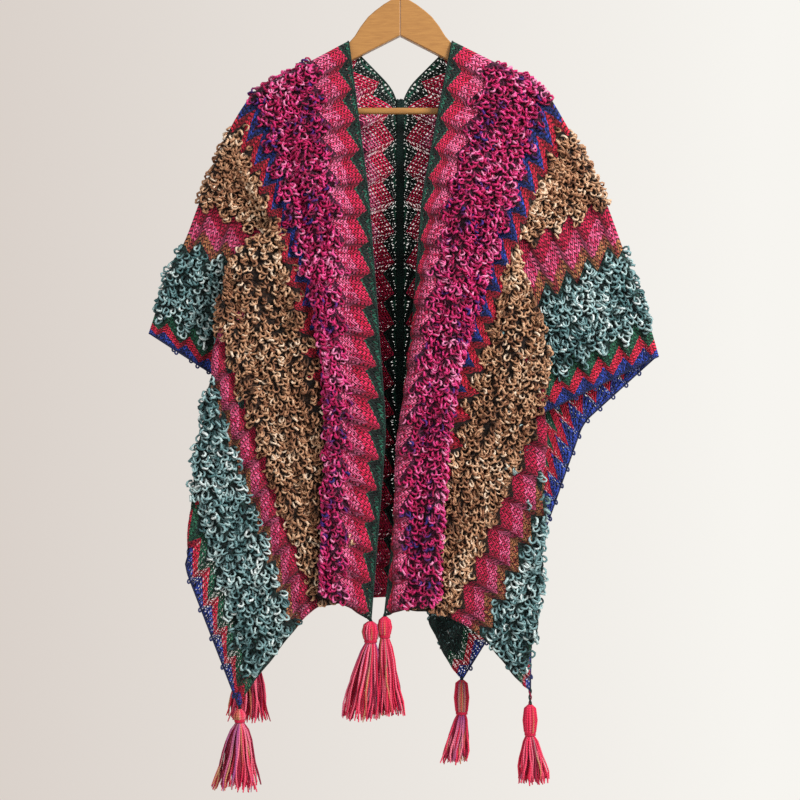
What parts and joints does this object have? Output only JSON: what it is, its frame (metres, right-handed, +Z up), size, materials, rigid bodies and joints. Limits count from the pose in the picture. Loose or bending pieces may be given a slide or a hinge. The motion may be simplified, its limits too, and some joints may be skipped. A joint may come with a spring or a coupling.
{
  "type": "open-front knitted poncho sweater on a wooden clothes hanger",
  "caption": "Open-front knitted poncho with looped pile bands, zigzag stripes and corner tassels, hanging on a flat wooden clothes hanger.",
  "frame": {"origin": "inner top of the hanger's hook, where a rail or peg holds it", "axes": "+Z up, +X to the viewer's right seen from the open front, +Y to the back"},
  "size_m": [0.6868, 0.1163, 1.131],
  "materials": {
    "panel_cloth": "acrylic knit with zigzag stripes and standing yarn loops",
    "seam_yarn": "dark crocheted join",
    "tassel_yarn": "mixed pink, coral and crimson yarn",
    "hanger_wood": "satin varnished honey wood",
    "hanger_bar_wood": "satin varnished dowel",
    "hook_wire": "polished wire"
  },
  "bodies": {
    "root": {"left_front": "panel_cloth", "right_front": "panel_cloth", "left_back": "panel_cloth", "right_back": "panel_cloth", "centre_back_seam": "seam_yarn", "tassel_left_front_inner": "tassel_yarn", "tassel_right_front_inner": "tassel_yarn", "tassel_left_front_outer": "tassel_yarn", "tassel_right_front_outer": "tassel_yarn", "tassel_left_back_outer": "tassel_yarn", "tassel_right_back_outer": "tassel_yarn", "hanger_arm_left": "hanger_wood", "hanger_arm_right": "hanger_wood", "hanger_bar": "hanger_bar_wood", "hanger_hook": "hook_wire"}
  },
  "joints": []
}
